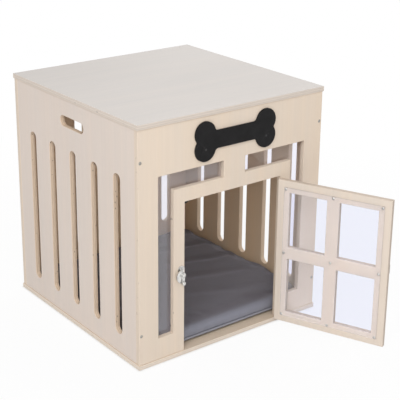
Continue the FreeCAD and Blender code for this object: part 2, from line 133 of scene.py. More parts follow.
def board(name, cad_node, outward, grain, ease, material, pit=0.0):
    """A flat piece with rounded edges, made on the outlines of its CAD node.

    Each point keeps its place across the grain, along it and down from the face, and cut walls are marked.
    """
    solid = welded(cad_node)
    outward, grain = Vector(outward).normalized(), Vector(grain).normalized()
    front = facing_loops(solid, outward)
    back = [spread(outline) for outline in facing_loops(solid, -outward)]
    heights = [vert.co.dot(outward) for vert in solid.verts]
    face_level, depth = max(heights), max(heights) - min(heights)
    solid.free()

    through, blind = [], []
    for outline in front:
        middle, reach = spread(outline)
        met = any((middle - outward * depth - other).length < same_reach and abs(reach - wide) < same_reach
                  for other, wide in back)
        (through if met else blind).append(outline)

    made = bmesh.new()
    cut = made.faces.layers.float.new("cut")
    turns = [math.radians(angle) for angle in (0, 30, 60, 90)]
    profile = [(ease * (1 - math.sin(turn)), ease * (1 - math.cos(turn))) for turn in turns]
    profile += [(inset, depth - down) for inset, down in reversed(profile)]
    first_rings, last_rings = [], []
    widest = max(spread(outline)[1] for outline in through)
    for outline in through:
        rows = [[made.verts.new(point - outward * down) for point in drawn_in(outline, outward, inset)]
                for inset, down in profile]
        walls(made, rows, cut, sanded_rim if spread(outline)[1] == widest else 1.0)
        first_rings.append(rows[0])
        last_rings.append(rows[-1])
    for outline in blind:
        rows = [[made.verts.new(point - outward * down) for point in outline] for down in (0.0, pit)]
        walls(made, rows, cut, 1.0)
        first_rings.append(rows[0])
        made.faces.new(rows[-1])[cut] = 1.0
    fill(made, first_rings, grain.cross(outward), grain)
    fill(made, last_rings, outward.cross(grain), grain)
    mesh = finished_mesh(made, name)
    middle = sum(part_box(cad_node), Vector()) / 2
    across = grain.cross(outward)
    place = mesh.attributes.new("place", "FLOAT_VECTOR", "POINT")
    for vert, kept in zip(mesh.vertices, place.data):
        at = vert.co - middle
        kept.vector = (at.dot(across), at.dot(grain), (face_level - vert.co.dot(outward)) / depth)
    mesh.materials.append(material)
    return new_piece(name, mesh, cad_node)


def walls(made, rows, cut, share):
    """Quads between rings of points, with the edges at the outline's corners kept sharp."""
    smooth_way = 0.85
    middle = len(rows) // 2
    for level, (upper, lower) in enumerate(zip(rows, rows[1:]), 1):
        for index in range(len(upper)):
            after = (index + 1) % len(upper)
            face = made.faces.new((upper[index], lower[index], lower[after], upper[after]))
            face.smooth = True
            face[cut] = share if level == middle else share * sanded_through
    for index, (before, vert, after) in enumerate(in_turn(rows[0])):
        if (vert.co - before.co).normalized().dot((after.co - vert.co).normalized()) < smooth_way:
            for upper, lower in zip(rows, rows[1:]):
                made.edges.get((upper[index], lower[index])).smooth = False


def fill(made, rings, across, along):
    """Flat triangles between an outer ring and the rings of its holes, facing across times along."""
    points, edges, verts = [], [], []
    for ring in rings:
        first = len(points)
        verts += ring
        points += [Vector((vert.co.dot(across), vert.co.dot(along))) for vert in ring]
        edges += [(first + index, first + (index + 1) % len(ring)) for index in range(len(ring))]
    closest = 1e-9
    _, _, triangles, sources, _, _ = delaunay_2d_cdt(points, edges, [], 0, closest)
    for triangle in triangles:
        corners = [sources[index][0] for index in triangle]
        middle = sum((points[index] for index in corners), Vector((0, 0))) / 3
        if crossings(middle, points, edges) % 2:
            made.faces.new([verts[index] for index in corners]).smooth = False


def crossings(at, points, edges):
    """How many edges a line runs over from a point towards one side."""
    count = 0
    for start, end in edges:
        low, high = points[start], points[end]
        if (low.y > at.y) != (high.y > at.y):
            count += low.x + (at.y - low.y) / (high.y - low.y) * (high.x - low.x) > at.x
    return count


def finished_mesh(made, name):
    """A plain mesh of the faces that were built, which are then let go."""
    mesh = bpy.data.meshes.new(name)
    made.to_mesh(mesh)
    made.free()
    return mesh


def linked(name, data):
    """A new object, put in the scene."""
    made = bpy.data.objects.new(name, data)
    scene.collection.objects.link(made)
    return made


def new_piece(name, mesh, *replaced, body="crate"):
    """A mesh as a piece of the object, in the place of its CAD nodes."""
    piece = linked(name, mesh)
    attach(piece, body)
    if replaced:
        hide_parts(*replaced)
    return piece


def node(tree, kind, inputs=(), **settings):
    """A node with its settings, and each named input set to a value or joined to a socket or a node."""
    made = tree.nodes.new(kind)
    for name, value in settings.items():
        setattr(made, name, value)
    for key, value in dict(inputs).items():
        if isinstance(value, bpy.types.Node):
            value = value.outputs[0]
        if isinstance(value, bpy.types.NodeSocket):
            tree.links.new(value, made.inputs[key])
        else:
            made.inputs[key].default_value = value
    return made


def maths(tree, operation, first, second=0.0):
    """One step of arithmetic on values or sockets."""
    return node(tree, "ShaderNodeMath", {0: first, 1: second}, operation=operation).outputs[0]


def times(tree, first, second):
    """The product of two."""
    return maths(tree, "MULTIPLY", first, second)


def plus(tree, first, second):
    """The sum of two."""
    return maths(tree, "ADD", first, second)


def minus(tree, first, second):
    """The first less the second."""
    return maths(tree, "SUBTRACT", first, second)


def mapped(tree, value, low, high, to_low, to_high):
    """A value taken from one range to another, and held there."""
    inputs = {"Value": value, "From Min": low, "From Max": high, "To Min": to_low, "To Max": to_high}
    return node(tree, "ShaderNodeMapRange", inputs).outputs[0]


def mixed(tree, factor, first, second):
    """Two colours blended, from the first at 0 to the second at 1."""
    return node(tree, "ShaderNodeMix", {0: factor, 6: first, 7: second}, data_type="RGBA").outputs[2]


def noise(tree, place, stretch, detail=2.0, distortion=0.0):
    """Soft noise, from 0 to 1, on a place that is stretched first."""
    scaled = node(tree, "ShaderNodeMapping", {"Vector": place, "Scale": stretch})
    inputs = {"Vector": scaled, "Scale": 1.0, "Detail": detail, "Distortion": distortion}
    return node(tree, "ShaderNodeTexNoise", inputs).outputs["Fac"]


def node_group(kind, name, takes, gives):
    """A new node group, and the sockets inside it that hold what it takes."""
    tree = bpy.data.node_groups.new(name, kind + "NodeTree")
    for side, sockets in (("INPUT", takes), ("OUTPUT", gives)):
        for socket, value in sockets.items():
            tree.interface.new_socket(socket, in_out=side, socket_type="NodeSocket" + value)
    return tree, node(tree, "NodeGroupInput").outputs


def plywood_group():
    """Sanded veneer on the faces, and on the cut walls five plies with glue lines and small voids."""
    plies, glue_share, void_share = 5.0, 0.07, 0.07
    fleck_shade, end_grain_shade, glue_shade, void_shade = 0.05, 0.15, 0.15, 0.85
    void_tone = (0.045, 0.028, 0.018, 1.0)
    through = 40.0
    tree, takes = node_group(
        "Shader", "plywood",
        {"Place": "Vector", "Cut": "Float", "Veneer": "Color", "Lining": "Color", "Core": "Color"},
        {"Color": "Color", "Roughness": "Float", "Height": "Float"})
    place, cut = takes["Place"], takes["Cut"]
    down = node(tree, "ShaderNodeSeparateXYZ", {0: place}).outputs[2]
    inside = mapped(tree, down, 0.93, 0.99, 0.0, 1.0)
    clouds = noise(tree, place, (5.0, 2.2, through))
    flame = noise(tree, place, (22.0, 1.1, through), 3.0, 0.6)
    streaks = noise(tree, place, (160.0, 2.6, through), 3.0)
    fibres = noise(tree, place, (1500.0, 22.0, 0.0), 2.0)
    flecks = mapped(tree, noise(tree, place, (420.0, 9.0, through), 1.0), 0.72, 0.80, 0.0, 1.0)
    shade = minus(tree, 1.0, times(tree, flecks, fleck_shade))
    for pattern, low, high, amount in ((clouds, *noise_span, 0.016), (flame, *noise_span, 0.018),
                                       (streaks, 0.25, 0.75, 0.020), (fibres, 0.25, 0.75, 0.016)):
        shade = plus(tree, shade, mapped(tree, pattern, low, high, -amount, amount))
    veneer = node(tree, "ShaderNodeHueSaturation", {
        "Saturation": mapped(tree, flame, *noise_span, 0.94, 1.10), "Value": shade,
        "Color": mixed(tree, inside, takes["Veneer"], takes["Lining"])})

    wander = mapped(tree, noise(tree, place, (30.0, 30.0, 1.0)), *noise_span, -0.02, 0.02)
    layer = times(tree, plus(tree, down, wander), plies)
    end_grain = maths(tree, "GREATER_THAN", maths(tree, "MODULO", layer, 2.0), 1.0)
    line = mapped(tree, maths(tree, "PINGPONG", layer, 0.5), 0.0, glue_share, 1.0, 0.0)
    speckle = noise(tree, place, (900.0, 900.0, 30.0), 2.0)
    run = noise(tree, place, (60.0, 60.0, 25.0), 3.0)
    spaced = node(tree, "ShaderNodeMapping", {"Vector": place, "Scale": (90.0, 90.0, 2.6)})
    cells = node(tree, "ShaderNodeTexVoronoi", {"Vector": spaced, "Scale": 1.0}).outputs
    draw = node(tree, "ShaderNodeSeparateColor", {0: cells["Color"]})
    chosen = maths(tree, "GREATER_THAN", draw, 1.0 - void_share)
    void = times(tree, mapped(tree, cells["Distance"], 0.18, 0.26, 1.0, 0.0), chosen)
    tint = mapped(tree, run, *noise_span, 0.93, 1.05)
    tint = plus(tree, tint, mapped(tree, speckle, *noise_span, -0.03, 0.03))
    tint = minus(tree, tint, times(tree, end_grain, end_grain_shade))
    tint = minus(tree, tint, times(tree, line, glue_shade))
    core = node(tree, "ShaderNodeHueSaturation", {"Value": tint, "Color": takes["Core"]})
    core = mixed(tree, times(tree, void, void_shade), core, void_tone)

    sanding = mapped(tree, streaks, 0.2, 0.8, 0.56, 0.66)
    roughness = plus(tree, sanding, times(tree, cut, 0.14))
    pores = minus(tree, fibres, times(tree, flecks, 0.5))
    holes = minus(tree, speckle, times(tree, void, 4.0))
    rough_cut = times(tree, cut, minus(tree, holes, pores))
    node(tree, "NodeGroupOutput", {"Color": mixed(tree, cut, veneer, core), "Roughness": roughness,
                                   "Height": plus(tree, pores, rough_cut)})
    return tree


def new_material(name):
    """A material without nodes, and its tree."""
    material = bpy.data.materials.new(name)
    material.use_nodes = True
    material.node_tree.nodes.clear()
    return material, material.node_tree


def attribute(tree, name, output="Fac"):
    """What a mesh keeps under a name."""
    return node(tree, "ShaderNodeAttribute", attribute_name=name).outputs[output]


def plywood(name, veneer, lining, core=(0.79, 0.66, 0.52)):
    """The plywood of one board, in the tones of its outer face, its inner face and its cut edges."""
    material, tree = new_material(name)
    wood = node(tree, "ShaderNodeGroup", {
        "Place": attribute(tree, "place", "Vector"), "Cut": attribute(tree, "cut"),
        "Veneer": (*veneer, 1.0), "Lining": (*lining, 1.0), "Core": (*core, 1.0)},
        node_tree=plywood_surface).outputs
    bump = node(tree, "ShaderNodeBump", {"Height": wood["Height"], "Strength": 0.5, "Distance": 0.25 * mm})
    surface = node(tree, "ShaderNodeBsdfPrincipled", {
        "Base Color": wood["Color"], "Roughness": wood["Roughness"], "Normal": bump,
        "Specular IOR Level": 0.35})
    node(tree, "ShaderNodeOutputMaterial", {"Surface": surface})
    return material


plywood_surface = plywood_group()
sanded_through, sanded_rim = 0.4, 0.6
board_ease = 0.7 * mm
screw_pit = 1.6 * mm
base_plywood = plywood("base_plywood", (0.76, 0.66, 0.55), (0.71, 0.59, 0.465), (0.82, 0.72, 0.63))
base = board("base", "base_panel", (0, 0, -1), (1, 0, 0), board_ease, base_plywood, screw_pit)


# Side walls: one board each, with five round-ended ventilation slots and a hand-hole routed through.
# They stand between the front and back boards, with their grain upright.

# The inner faces of the walls, front and lid take a darker, warmer tone than their outer faces: painted
# shade in the cabin.
painted_shade_lining = (0.655, 0.50, 0.355)
side_plywood = plywood("side_plywood", (0.712, 0.624, 0.56), painted_shade_lining, (0.79, 0.63, 0.48))
for name, side in (("left", -1), ("right", 1)):
    wall = board(name + "_side", name + "_side_panel", (side, 0, 0), (0, 0, 1), board_ease, side_plywood)


# Back wall: a board as wide as the crate, with five shorter slots.
# It covers the side walls' edges and is screwed to them from behind.

# The back's inner face takes a brighter, warmer tone than its outer face: painted light in the cabin.
back_plywood = plywood("back_plywood", (0.712, 0.624, 0.56), (0.94, 0.73, 0.53))
back = board("back_wall", "back_panel", (0, 1, 0), (0, 0, 1), board_ease, back_plywood, screw_pit)


# Front: one board with two L-shaped windows and the doorway cut out of it.
# Like the back, it covers the side walls' edges and is screwed to them.

# The front's face tone is warmer than the side walls': painted warm light on the front.
front_plywood = plywood("front_plywood", (0.768, 0.652, 0.538), painted_shade_lining, (0.76, 0.64, 0.525))
front = board("front_wall", "front_panel", (0, -1, 0), (0, 0, 1), board_ease, front_plywood, screw_pit)


# Lid: a plain board that laps over the walls by a couple of millimetres.
# Dowels in the walls' top edges hold it, so no fixing shows on it.

# The lid's face tone is greyer than the walls': painted cool light from above.
lid_plywood = plywood("lid_plywood", (0.645, 0.605, 0.573), painted_shade_lining, (0.76, 0.64, 0.53))
lid = board("lid", "top_panel", (0, 0, 1), (1, 0, 0), board_ease, lid_plywood)


# Window panes: clear plastic sheet, 2 mm thick, cut to the L of each window with a margin.
# They lie against the front's inner face, and their sawn edges are dull; the left one is the hazier.

def own_place(tree):
    """The place on the object itself."""
    return node(tree, "ShaderNodeTexCoord").outputs["Object"]


def clear_sheet(name, cast, clearness, mirror):
    """Clear plastic with a faint cast, haze and reflection, which lets lamps through."""
    material, tree = new_material(name)
    # The cut edges are tinted almost black: the sheet's own dark edge, deepened to paint the shade line
    # beside it.
    face, edge, edge_roughness = (*cast, 1.0), (0.06, 0.05, 0.045, 1.0), 0.35
    cut = attribute(tree, "cut")
    haze = mapped(tree, noise(tree, own_place(tree), (14.0, 14.0, 9.0)), *noise_span, 0.0, 0.02)
    sheet = node(tree, "ShaderNodeBsdfPrincipled", {
        "Base Color": mixed(tree, cut, face, edge),
        "Roughness": plus(tree, haze, times(tree, cut, edge_roughness)),
        "Transmission Weight": clearness, "IOR": 1.58, "Specular Tint": (*mirror, 1.0)})
    passing = node(tree, "ShaderNodeBsdfTransparent", {"Color": (0.97, 0.98, 1.0, 1.0)})
    to_lamps = node(tree, "ShaderNodeLightPath").outputs["Is Shadow Ray"]
    both = node(tree, "ShaderNodeMixShader", {0: to_lamps, 1: sheet, 2: passing})
    node(tree, "ShaderNodeOutputMaterial", {"Surface": both})
    return material


sheet_ease = 0.15 * mm
for name, cast, clearness, mirror in (
        ("left", (0.86, 0.85, 0.91), 0.94, (1.0, 1.0, 1.0)),
        ("right", (0.91, 0.90, 0.98), 0.98, (0.82, 0.70, 0.52))):
    plastic = clear_sheet(name + "_pane_plastic", cast, clearness, mirror)
    pane = board(name + "_pane", name + "_window_sheet", (0, 1, 0), (0, 0, 1), sheet_ease, plastic)


# Door: one board with four square lights, hung on the right of the doorway and standing open.
# A single clear sheet on its inner face glazes all four.

hinge = next(joint for joint in frame["joints"] if joint["name"] == "door_hinge")
door_angle = math.radians(-hinge["range_deg"][0])
door_turn = Matrix.Rotation(door_angle, 3, "Z")
door_outward = door_turn @ Vector((0, -1, 0))

door_plywood = plywood("door_plywood", (0.75, 0.655, 0.565), (0.74, 0.645, 0.555), (0.54, 0.435, 0.35))
door = board("door", "door_frame", door_outward, (0, 0, 1), board_ease, door_plywood, screw_pit)
door_plastic = clear_sheet("door_plastic", (0.865, 0.88, 0.975), 0.97, (1.0, 0.85, 0.55))
door_pane = board("door_pane", "door_sheet", -door_outward, (0, 0, 1), sheet_ease, door_plastic)
for piece, slot in ((door, "plywood"), (door_pane, "clear_sheet")):
    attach(piece, "door")


# Dowels: plain beech pins in the walls' top edges, which reach into the lid.
# They are hidden once the lid is on.

beech, tree = new_material("beech")
grain = noise(tree, own_place(tree), (900.0, 900.0, 40.0))
turned_wood = node(tree, "ShaderNodeBsdfPrincipled", {
    "Base Color": mixed(tree, grain, (0.66, 0.50, 0.33, 1.0), (0.78, 0.63, 0.45, 1.0)), "Roughness": 0.6})
node(tree, "ShaderNodeOutputMaterial", {"Surface": turned_wood})
dowels = frame["nodes"]["top_dowels"].data
dowels.materials.clear()
dowels.materials.append(beech)


# Door stop: a block of black moulded plastic with broken edges and one rounded corner.
# Two screws hold it behind the doorway's top left corner, where the closed door meets it.

def softened(name, cad_node, edge, material, body="crate"):
    """A copy of a CAD node with its sharp edges broken, shaded smooth round its curves."""
    flat_turn, sharp_turn, shaded_turn = (math.radians(angle) for angle in (0.5, 40, 32))
    sliver = 0.005 * mm
    made = welded(cad_node)
    bmesh.ops.dissolve_limit(made, angle_limit=flat_turn, verts=made.verts, edges=made.edges)
    sharp = [one for one in made.edges if one.is_manifold and one.calc_face_angle() > sharp_turn]
    if edge:
        bmesh.ops.bevel(made, geom=sharp, offset=edge, segments=2, profile=0.5, affect="EDGES",
                        clamp_overlap=True)
        bmesh.ops.remove_doubles(made, verts=made.verts, dist=sliver)
        bmesh.ops.dissolve_degenerate(made, edges=made.edges, dist=sliver)
    for face in made.faces:
        face.smooth = True
    mesh = finished_mesh(made, name)
    mesh.set_sharp_from_angle(angle=shaded_turn)
    mesh.materials.append(material)
    piece = new_piece(name, mesh, cad_node, body=body)
    return piece


def mottle_group():
    """Unevenness of a coating: soft patches and fine specks, from 0 to 1."""
    specks_to_metre = 1100.0
    tree, takes = node_group("Shader", "mottle", {"Place": "Vector", "Fineness": "Float"},
                             {"Patches": "Float", "Specks": "Float"})
    drawn = node(tree, "ShaderNodeVectorMath", {0: takes["Place"], "Scale": takes["Fineness"]},
                 operation="SCALE")
    node(tree, "NodeGroupOutput", {"Patches": noise(tree, drawn, (1.0, 1.0, 1.0), 3.0),
                                   "Specks": noise(tree, takes["Place"], (specks_to_metre,) * 3)})
    return tree


def coated(name, tone, spread_share, roughness, metallic, bump, shine=0.5, fineness=55.0):
    """A coating in one tone, with patches a little darker and duller than the rest."""
    material, tree = new_material(name)
    mottle = node(tree, "ShaderNodeGroup", {"Place": own_place(tree), "Fineness": fineness},
                  node_tree=coating_mottle).outputs
    clean, dull = roughness
    darker = tuple(part * (1 - spread_share) for part in tone)
    patches = mapped(tree, mottle["Patches"], *noise_span, 0.0, 1.0)
    relief = node(tree, "ShaderNodeBump", {
        "Height": mottle["Specks"], "Strength": bump, "Distance": 0.2 * mm})
    surface = node(tree, "ShaderNodeBsdfPrincipled", {
        "Base Color": mixed(tree, patches, (*darker, 1.0), (*tone, 1.0)),
        "Roughness": mapped(tree, mottle["Patches"], *noise_span, dull, clean),
        "Metallic": metallic, "Specular IOR Level": shine, "Normal": relief})
    node(tree, "ShaderNodeOutputMaterial", {"Surface": surface})
    return material


coating_mottle = mottle_group()
black_plastic = coated("black_plastic", (0.016, 0.016, 0.017), spread_share=0.25, roughness=(0.42, 0.52),
                       metallic=0.0, bump=0.25, shine=0.3)
moulded_edge, door_clearance = 0.6 * mm, 0.3 * mm
stop = softened("stop", "door_stop", moulded_edge, black_plastic)
stop_face = min(vert.co.y for vert in stop.data.vertices)
for vert in stop.data.vertices:
    vert.co.y = max(vert.co.y, stop_face + door_clearance)


# Plaque: a bone sawn from 5 mm board, with rounded edges and matt black paint.
# It lies flat on the front's header, held by a screw in each lower lobe.

black_paint = coated("black_paint", (0.013, 0.0125, 0.013), spread_share=0.18, roughness=(0.55, 0.66),
                     metallic=0.0, bump=0.35, shine=0.15)
softened("plaque", "bone_plaque", 0.0, black_paint)


# Hinges: two butt hinges folded from nickel-plated sheet, with five interleaved knuckles on a pin.
# One leaf is screwed to the doorway's right stile and the other to the door's face.

hinge_steel = coated("hinge_steel", (0.66, 0.65, 0.63), spread_share=0.12, roughness=(0.26, 0.38),
                     metallic=1.0, bump=0.12)
hinge_edge = 0.2 * mm
for place in ("upper", "lower"):
    for piece, cad_node, body in (("_hinge_leaf", "_hinge_frame_leaf", "crate"),
                                  ("_hinge_pivot", "_hinge_pin", "crate"),
                                  ("_door_leaf", "_hinge_door_leaf", "door")):
        softened(place + piece, place + cad_node, hinge_edge, hinge_steel, body)


# Lock: a sash lock of cast and bright nickel-plated zinc, on the doorway's left stile.
# Its crescent turns on a rivet and runs over the tongue of the keeper, which is screwed to the door.

# The nickel's strong dark patches are painted reflection of dark surroundings in the bright metal.
nickel = coated("nickel", (0.80, 0.785, 0.76), spread_share=0.42, roughness=(0.06, 0.20),
                metallic=1.0, bump=0.10, fineness=160.0)
cast_edge, turned_edge = 0.45 * mm, 0.3 * mm
softened("lock_plate", "latch_base", cast_edge, nickel)
softened("lock_rivet", "latch_rivet", turned_edge, nickel)
softened("lock_crescent", "latch_crescent", cast_edge, nickel, "latch")
softened("lock_keeper", "latch_keeper", turned_edge, nickel, "door")


# Screws: zinc-plated steel with a cross recess, driven by hand so that each stands at its own angle.
# Pan heads hold the clear sheets; countersunk ones hold the boards, hinges, lock, stop and plaque.

def screw_tree():
    """Screws turned to a profile, with a cross recess, one on each point and facing as the point says."""
    tree, takes = node_group("Geometry", "screws", {
        "Points": "Geometry", "Head": "Float", "Crown": "Float", "Sink": "Float", "Shank": "Float",
        "Length": "Float", "Seed": "Int", "Finish": "Material"}, {"Screws": "Geometry"})

    def part(socket, share):
        return times(tree, takes[socket], share)

    def picked(row, values):
        """One value for each row of the profile."""
        switch = node(tree, "GeometryNodeIndexSwitch", data_type="FLOAT")
        while len(switch.index_switch_items) < len(values):
            switch.index_switch_items.new()
        tree.links.new(row, switch.inputs[0])
        for socket, value in zip(switch.inputs[1:], values):
            if isinstance(value, float):
                socket.default_value = value
            else:
                tree.links.new(value, socket)
        return switch.outputs[0]

    dome_radius_shares, dome_height_shares = (0.31, 0.45), (0.92, 0.6, 0.2)
    arm_share, width_share, depth_share = 0.56, 0.12, 0.30
    sides = 28
    head, shank, tip = part("Head", 0.5), part("Shank", 0.5), part("Length", -1.0)
    dome_radii = [part("Head", share) for share in dome_radius_shares]
    dome_heights = [part("Crown", share) for share in dome_height_shares]
    radii = (0.0, *dome_radii, head, head, shank, shank, 0.0)
    heights = (takes["Crown"], *dome_heights, 0.0, part("Sink", -1.0), tip, tip)
    grid = node(tree, "GeometryNodeMeshGrid", {
        "Size X": 1.0, "Size Y": 1.0, "Vertices X": sides + 1, "Vertices Y": len(radii)})
    at = node(tree, "ShaderNodeSeparateXYZ", {0: node(tree, "GeometryNodeInputPosition")}).outputs
    row = maths(tree, "ROUND", times(tree, plus(tree, at[1], 0.5), len(radii) - 1.0))
    turn = times(tree, at[0], -2 * math.pi)
    radius = picked(row, radii)
    place = node(tree, "ShaderNodeCombineXYZ", {
        0: times(tree, radius, maths(tree, "COSINE", turn)),
        1: times(tree, radius, maths(tree, "SINE", turn)), 2: picked(row, heights)})
    turned = node(tree, "GeometryNodeSetPosition", {"Geometry": grid, "Position": place})
    closed = node(tree, "GeometryNodeMergeByDistance", {"Geometry": turned, "Distance": same_point})

    recessed = node(tree, "GeometryNodeMeshBoolean", {0: closed}, operation="DIFFERENCE", solver="EXACT")
    lift = node(tree, "ShaderNodeCombineXYZ", {2: takes["Crown"]})
    arm, width, depth = (part("Head", share) for share in (arm_share, width_share, depth_share))
    for across, along in ((arm, width), (width, arm)):
        size = node(tree, "ShaderNodeCombineXYZ", {0: across, 1: along, 2: depth})
        blade = node(tree, "GeometryNodeMeshCube", {"Size": size})
        raised = node(tree, "GeometryNodeTransform", {"Geometry": blade, "Translation": lift}).outputs[0]
        tree.links.new(raised, recessed.inputs[1])

    facing = node(tree, "GeometryNodeInputNamedAttribute", {"Name": "facing"}, data_type="FLOAT_VECTOR")
    upright = node(tree, "FunctionNodeAlignRotationToVector", {"Vector": facing}, axis="Z")
    angle = node(tree, "FunctionNodeRandomValue", {2: 0.0, 3: math.pi, "Seed": takes["Seed"]},
                 data_type="FLOAT").outputs[1]
    spin = node(tree, "FunctionNodeAxisAngleToRotation", {"Axis": (0, 0, 1), "Angle": angle})
    driven = node(tree, "FunctionNodeRotateRotation", {"Rotation": upright, "Rotate By": spin},
                  rotation_space="LOCAL")
    placed = node(tree, "GeometryNodeInstanceOnPoints", {
        "Points": takes["Points"], "Instance": recessed, "Rotation": driven})
    realised = node(tree, "GeometryNodeRealizeInstances", {"Geometry": placed})
    finished = node(tree, "GeometryNodeSetMaterial", {"Geometry": realised, "Material": takes["Finish"]})
    node(tree, "NodeGroupOutput", {"Screws": finished})
    return tree


def evaluated(holder):
    """An object as its modifiers leave it."""
    return holder.evaluated_get(bpy.context.evaluated_depsgraph_get())


def grown(name, tree, start, inputs):
    """The plain mesh that a node tree makes of a starting mesh."""
    holder = linked(name, start)
    modifier = holder.modifiers.new(name, "NODES")
    modifier.node_group = tree
    for item in tree.interface.items_tree:
        if item.in_out == "INPUT" and item.name in inputs:
            modifier[item.identifier] = inputs[item.name]
    mesh = bpy.data.meshes.new_from_object(evaluated(holder))
    mesh.name = name
    bpy.data.objects.remove(holder)
    return mesh


def islands(made):
    """The separate solids of a mesh, as lists of their points."""
    left = dict.fromkeys(made.verts)
    while left:
        found = [next(iter(left))]
        del left[found[0]]
        for vert in found:
            for one in vert.link_edges:
                other = one.other_vert(vert)
                if other in left:
                    del left[other]
                    found.append(other)
        yield [vert.co.copy() for vert in found]


def screws(name, cad_node, facing, sizes, finish, sunk=0.0, body="crate"):
    """The screws of one CAD node, with their heads where its heads are."""
    solid = welded(cad_node)
    heads = []
    for points in islands(solid):
        top = max(point.dot(facing) for point in points)
        ring = [point for point in points if top - point.dot(facing) < same_level]
        heads.append(sum(ring, Vector()) / len(ring) - facing * (sizes["Crown"] + sunk))
    solid.free()
    start = bpy.data.meshes.new(name + "_places")
    start.from_pydata(heads, [], [])
    for kept in start.attributes.new("facing", "FLOAT_VECTOR", "POINT").data:
        kept.vector = facing
    inputs = {**sizes, "Seed": sum(map(ord, name)), "Finish": finish}
    mesh = grown(name, screw_design, start, inputs)
    shaded_turn = math.radians(30)
    mesh.shade_smooth()
    mesh.set_sharp_from_angle(angle=shaded_turn)
    piece = new_piece(name, mesh, cad_node, body=body)


def screw_sizes(head, crown, sink, shank, length):
    """A screw's sizes in millimetres, as inputs of the screws' tree."""
    return {"Head": head * mm, "Crown": crown * mm, "Sink": sink * mm, "Shank": shank * mm,
            "Length": length * mm}


screw_design = screw_tree()
zinc = coated("zinc", (0.41, 0.42, 0.41), spread_share=0.20, roughness=(0.38, 0.52), metallic=1.0, bump=0.15)
bright_zinc = coated("bright_zinc", (0.60, 0.595, 0.58), spread_share=0.15, roughness=(0.30, 0.42),
                     metallic=1.0, bump=0.12)
blackened = coated("blackened", (0.075, 0.075, 0.075), spread_share=0.2, roughness=(0.35, 0.5),
                   metallic=1.0, bump=0.15)
pan_screw = screw_sizes(head=6.0, crown=1.8, sink=0.0, shank=2.6, length=8.0)
board_screw = screw_sizes(head=7.5, crown=0.0, sink=1.95, shank=3.6, length=29.0)
small_screw = screw_sizes(head=5.2, crown=0.0, sink=1.3, shank=2.6, length=7.0)
stop_screw = {**small_screw, "Length": 13.0 * mm}
plaque_screw = {**small_screw, "Length": 11.0 * mm}
board_screw_sunk = 0.9 * mm
towards_front, towards_back = Vector((0, -1, 0)), Vector((0, 1, 0))
screws("base_screw_set", "base_screws", Vector((0, 0, -1)), board_screw, zinc, sunk=board_screw_sunk)
screws("back_screw_set", "back_panel_screws", towards_back, board_screw, zinc, sunk=board_screw_sunk)
screws("front_screw_set", "front_panel_screws", towards_front, board_screw, zinc, sunk=board_screw_sunk)
screws("pane_screw_set", "window_sheet_screws", towards_back, pan_screw, bright_zinc)
screws("stop_screw_set", "door_stop_screws", towards_back, stop_screw, zinc)
screws("plaque_screw_set", "plaque_screws", towards_front, plaque_screw, blackened)
screws("hinge_screw_set", "hinge_frame_screws", towards_front, small_screw, hinge_steel)
screws("lock_screw_set", "latch_screws", towards_front, small_screw, nickel)
screws("door_pane_screw_set", "door_sheet_screws", -door_outward, pan_screw, bright_zinc, body="door")
screws("door_hinge_screw_set", "hinge_door_screws", door_outward, small_screw, hinge_steel, body="door")
screws("keeper_screw_set", "keeper_screws", door_outward, small_screw, nickel, body="door")


# Cushion: a loose pad of dark grey woven cloth, stuffed with fibre, with a corded seam near its foot.
# It lies on the base between the walls. The filling has settled, so long shallow creases run across its top
# and its right edge stands up in waves.

def stuffed(cad_node, voxel, pressure, stretch, swell):
    """A closed pad of cloth that its filling blows up; no point moves further than swell."""
    weld, steps, least_move = 0.01 * mm, 20, 1e-9
    form = linked("cushion_form", finished_mesh(welded(cad_node, weld), "cushion_form"))
    remesh = form.modifiers.new("even_faces", "REMESH")
    remesh.mode = "VOXEL"
    remesh.voxel_size = voxel
    mesh = bpy.data.meshes.new_from_object(evaluated(form))
    form.modifiers.clear()
    form.data = mesh
    filling = form.modifiers.new("filling", "CLOTH").settings
    filling.use_pressure = True
    filling.uniform_pressure_force = pressure
    filling.shrink_min = -stretch
    filling.effector_weights.gravity = 0.0
    for step in range(1, steps + 1):
        scene.frame_set(step)
    places = [vert.co.copy() for vert in evaluated(form).data.vertices]
    form.modifiers.clear()
    scene.frame_set(1)
    normals = [vert.normal.copy() for vert in mesh.vertices]
    for vert, place, normal in zip(mesh.vertices, places, normals):
        move = place - vert.co
        move -= normal * min(0.0, move.dot(normal))
        vert.co += move * min(1.0, swell / max(move.length, least_move))
    bpy.data.objects.remove(form)
    return mesh


def fitted(mesh, low, high):
    """Brings a mesh to the sides of a box, each axis by its own share."""
    for axis in range(3):
        places = [vert.co[axis] for vert in mesh.vertices]
        least, most = min(places), max(places)
        share = (high[axis] - low[axis]) / (most - least)
        for vert in mesh.vertices:
            vert.co[axis] = low[axis] + (vert.co[axis] - least) * share


def off_line(x, y, line):
    """How far a point lies from a line of points, and how far along it, from 0 to 1."""
    nearest, along = 1e9, 0.0
    for index, ((x0, y0), (x1, y1)) in enumerate(zip(line, line[1:])):
        run = ((x - x0) * (x1 - x0) + (y - y0) * (y1 - y0)) / ((x1 - x0) ** 2 + (y1 - y0) ** 2)
        held = min(1.0, max(0.0, run))
        away = math.hypot(x - x0 - held * (x1 - x0), y - y0 - held * (y1 - y0))
        if away < nearest:
            nearest, along = away, (index + held) / (len(line) - 1)
    return nearest, along


